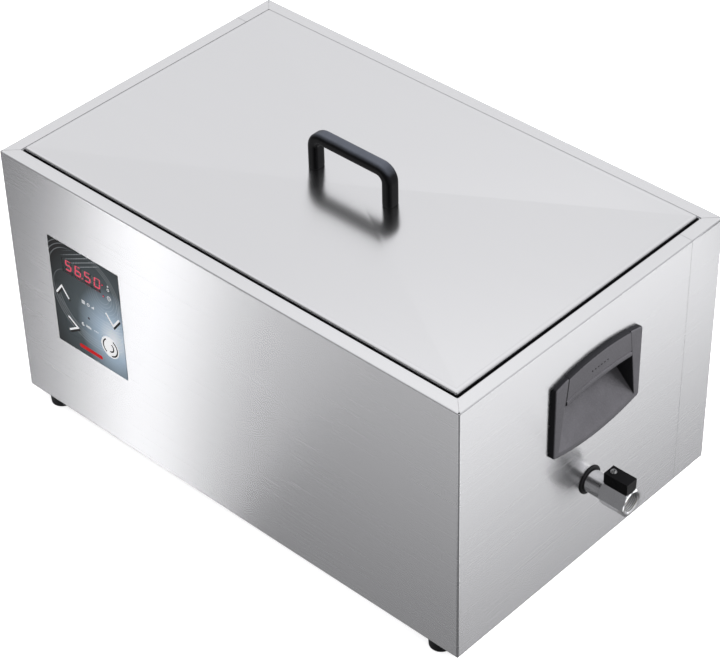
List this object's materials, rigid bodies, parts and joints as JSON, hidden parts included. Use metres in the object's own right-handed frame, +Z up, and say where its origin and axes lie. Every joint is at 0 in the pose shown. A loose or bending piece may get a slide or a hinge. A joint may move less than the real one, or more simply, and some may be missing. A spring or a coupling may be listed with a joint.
{
  "type": "sous vide water bath",
  "caption": "Counter-top sous vide water bath: steel housing and tank, lift-off lid, recessed side handles, membrane control panel, stirring pump and drain ball valve.",
  "frame": {"origin": "centre of the whole part's footprint, on the surface that its feet stand on", "axes": "+X along the housing, out of the drain valve; +Y from the control panel to the back; +Z up"},
  "size_m": [0.6176, 0.3612, 0.333],
  "materials": {
    "housing_steel": "brushed stainless sheet, fine grain along X",
    "tank_steel": "satin pressed stainless",
    "fastener_steel": "bright zinc or stainless fasteners",
    "chrome": "polished nickel-chrome plate",
    "black_rubber": "matt black rubber or silicone",
    "black_plastic": "satin black moulded plastic",
    "grey_plastic": "dark grey plastic with a fine moulded grain",
    "panel_film": "back-printed polyester film, charcoal to blue-grey",
    "smoked_window": "smoked clear plastic",
    "red_led": "lit red",
    "module_black": "matt black moulding",
    "pcb_green": "solder-masked board",
    "lead_sleeve": "heat-proof sleeving",
    "ribbon_grey": "flat cable",
    "lagging_felt": "needled mineral felt",
    "heater_silicone": "orange silicone mat",
    "brass": "turned brass",
    "white_ptfe": "white PTFE or ceramic",
    "sink_aluminium": "extruded aluminium",
    "motor_grey": "dark grey cast housing",
    "winding_copper": "enamelled copper windings"
  },
  "bodies": {
    "housing": {"front_wrap": "housing_steel", "rear_wrap": "housing_steel", "base_plate": "housing_steel", "base_screws": "fastener_steel", "feet": "black_rubber", "foot_screws": "fastener_steel", "tank": "tank_steel", "lid_seal": "black_rubber", "insulation": "lagging_felt", "heater_mat": "heater_silicone", "safety_thermostat": "white_ptfe", "temperature_probe": "fastener_steel", "probe_gland": "brass", "control_overlay": "panel_film", "display_window": "smoked_window", "display_module": "module_black", "digit_segments": "red_led", "indicator_leds": "red_led", "tact_switches": "module_black", "control_board": "pcb_green", "board_standoffs": "fastener_steel", "board_screws": "fastener_steel", "ribbon_cable": "ribbon_grey", "power_board": "pcb_green", "solid_state_relay": "module_black", "heat_sink": "sink_aluminium", "mains_inlet": "black_plastic", "inlet_screws": "fastener_steel", "earth_stud": "brass", "mains_leads": "lead_sleeve", "handle_right": "grey_plastic", "handle_left": "grey_plastic", "grip_right": "grey_plastic", "grip_left": "grey_plastic", "handle_screws": "fastener_steel", "drain_nipple": "tank_steel", "wall_grommet": "black_rubber", "valve_body": "chrome", "valve_seats": "white_ptfe", "seat_retainer": "brass", "stem_packing": "white_ptfe", "motor_housing": "motor_grey", "motor_stator": "winding_copper", "shaft_seal": "black_rubber"},
    "lid": {"lid_panel": "housing_steel", "lid_handle": "black_plastic", "lid_handle_screws": "fastener_steel", "lid_handle_washers": "fastener_steel"},
    "false_bottom": {"false_bottom": "tank_steel"},
    "drain_lever": {"valve_lever": "black_plastic", "lever_screw": "chrome", "valve_stem": "chrome", "valve_ball": "chrome"},
    "key_up": {"key_up": "panel_film"},
    "key_down": {"key_down": "panel_film"},
    "key_right": {"key_right": "panel_film"},
    "key_power": {"key_power": "panel_film"},
    "pump_rotor": {"pump_shaft": "fastener_steel", "impeller": "white_ptfe"}
  },
  "joints": [
    {"name": "lid_lift", "type": "slide", "parent": "housing", "child": "lid", "axis": [0, 0, 1], "range_m": [0, 0.15]},
    {"name": "false_bottom_lift", "type": "slide", "parent": "housing", "child": "false_bottom", "axis": [0, 0, 1], "range_m": [0, 0.1]},
    {"name": "drain_turn", "type": "hinge", "parent": "housing", "child": "drain_lever", "pos_m": [0.2872, -0.00215, 0.103], "axis": [0, 0, -1], "range_deg": [0, 90]},
    {"name": "key_up_press", "type": "slide", "parent": "housing", "child": "key_up", "axis": [0, 1, 0], "range_m": [0, 0.0004], "stiffness_N_per_m": 4000},
    {"name": "key_down_press", "type": "slide", "parent": "housing", "child": "key_down", "axis": [0, 1, 0], "range_m": [0, 0.0004], "stiffness_N_per_m": 4000},
    {"name": "key_right_press", "type": "slide", "parent": "housing", "child": "key_right", "axis": [0, 1, 0], "range_m": [0, 0.0004], "stiffness_N_per_m": 4000},
    {"name": "key_power_press", "type": "slide", "parent": "housing", "child": "key_power", "axis": [0, 1, 0], "range_m": [0, 0.0004], "stiffness_N_per_m": 4000},
    {"name": "pump_spin", "type": "hinge", "parent": "housing", "child": "pump_rotor", "pos_m": [-0.1708, 0.05785, 0.07], "axis": [0, 0, 1], "continuous": true}
  ]
}
